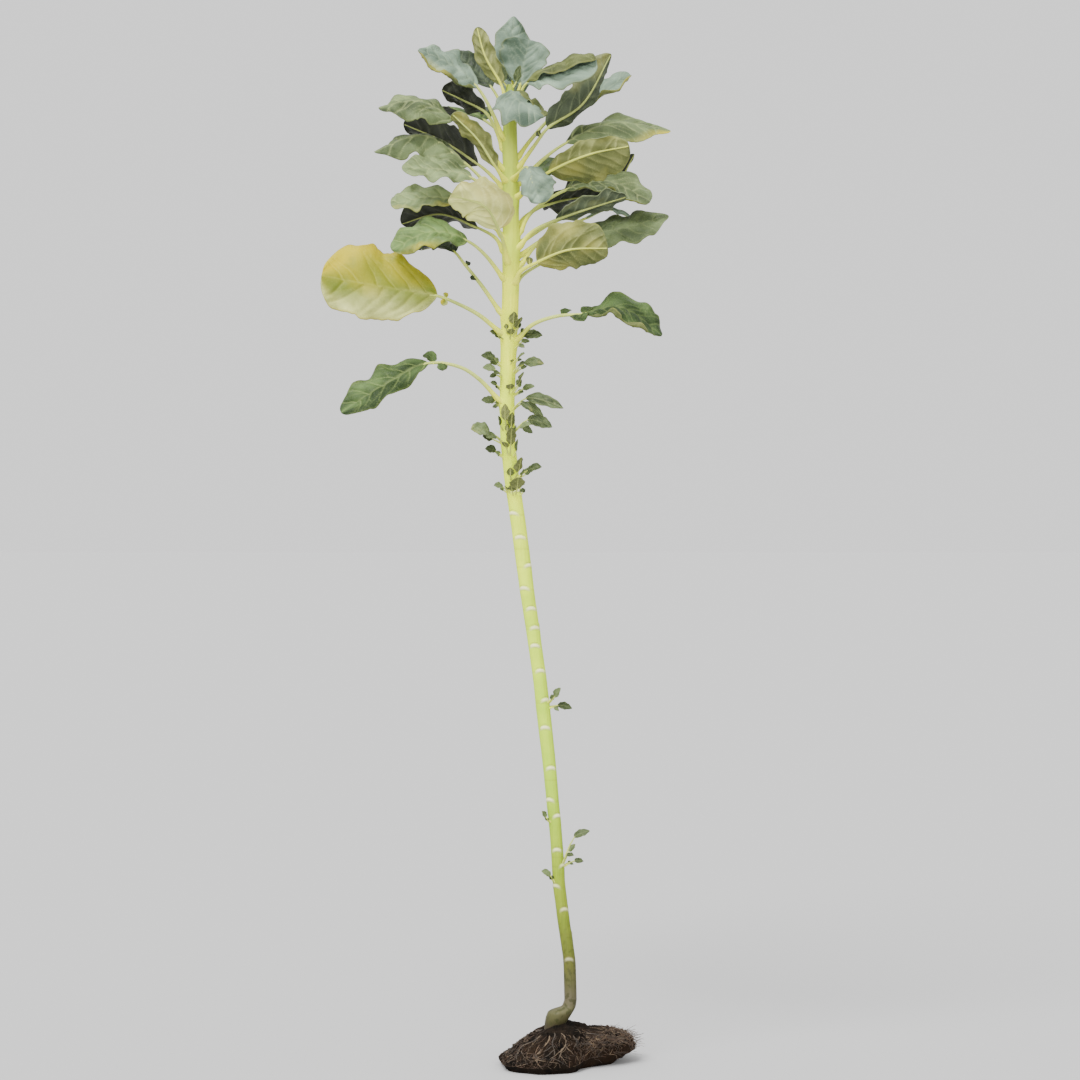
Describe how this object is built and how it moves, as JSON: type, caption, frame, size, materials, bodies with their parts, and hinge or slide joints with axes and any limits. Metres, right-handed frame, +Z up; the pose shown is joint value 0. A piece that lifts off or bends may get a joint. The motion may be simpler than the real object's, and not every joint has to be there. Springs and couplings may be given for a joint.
{
  "type": "walking stick kale",
  "caption": "Tall kale plant with a bare cane-like stem, a crown of waved leaves at its top, and bare roots in a clod of soil on which it stands.",
  "frame": {"origin": "on the flat underside of the clod, in the plane of the stem, straight below the foot of the bare stem", "axes": "+Z up along the plant; facing its front, +X is to the right and +Y is away"},
  "size_m": [0.6533, 0.3765, 1.9901],
  "materials": {
    "stem": "smooth green bark, satin",
    "soil": "rough, dark, fibrous",
    "leaf_glaucous": "waxy bloom, satin",
    "leaf_green": "satin",
    "leaf_shaded": "satin",
    "leaf_underside": "matt, paler veins",
    "leaf_pale": "matt, raised pale veins",
    "leaf_yellow": "matt, turning yellow"
  },
  "bodies": {
    "root": {"stem": "stem", "soil_clod": "soil", "top_leaf_1": "leaf_glaucous", "top_leaf_2": "leaf_glaucous", "top_leaf_3": "leaf_underside", "top_leaf_4": "leaf_glaucous", "top_leaf_5": "leaf_glaucous", "top_leaf_6": "leaf_glaucous", "left_leaf_1": "leaf_glaucous", "left_leaf_2": "leaf_glaucous", "left_leaf_3": "leaf_shaded", "left_leaf_4": "leaf_shaded", "left_leaf_5": "leaf_underside", "left_leaf_6": "leaf_green", "left_leaf_7": "leaf_green", "left_leaf_8": "leaf_green", "left_leaf_9": "leaf_shaded", "left_leaf_10": "leaf_green", "left_leaf_11": "leaf_shaded", "front_leaf_1": "leaf_glaucous", "front_leaf_2": "leaf_pale", "right_leaf_1": "leaf_shaded", "right_leaf_2": "leaf_glaucous", "right_leaf_3": "leaf_green", "right_leaf_4": "leaf_underside", "right_leaf_5": "leaf_shaded", "right_leaf_6": "leaf_glaucous", "right_leaf_7": "leaf_shaded", "right_leaf_8": "leaf_underside", "right_leaf_9": "leaf_shaded", "right_leaf_10": "leaf_glaucous", "right_leaf_11": "leaf_underside", "low_leaf_1": "leaf_yellow", "low_leaf_2": "leaf_shaded", "low_leaf_3": "leaf_green", "back_leaf_1": "leaf_green", "back_leaf_2": "leaf_green", "back_leaf_3": "leaf_green", "back_leaf_4": "leaf_green", "back_leaf_5": "leaf_glaucous"}
  },
  "joints": []
}
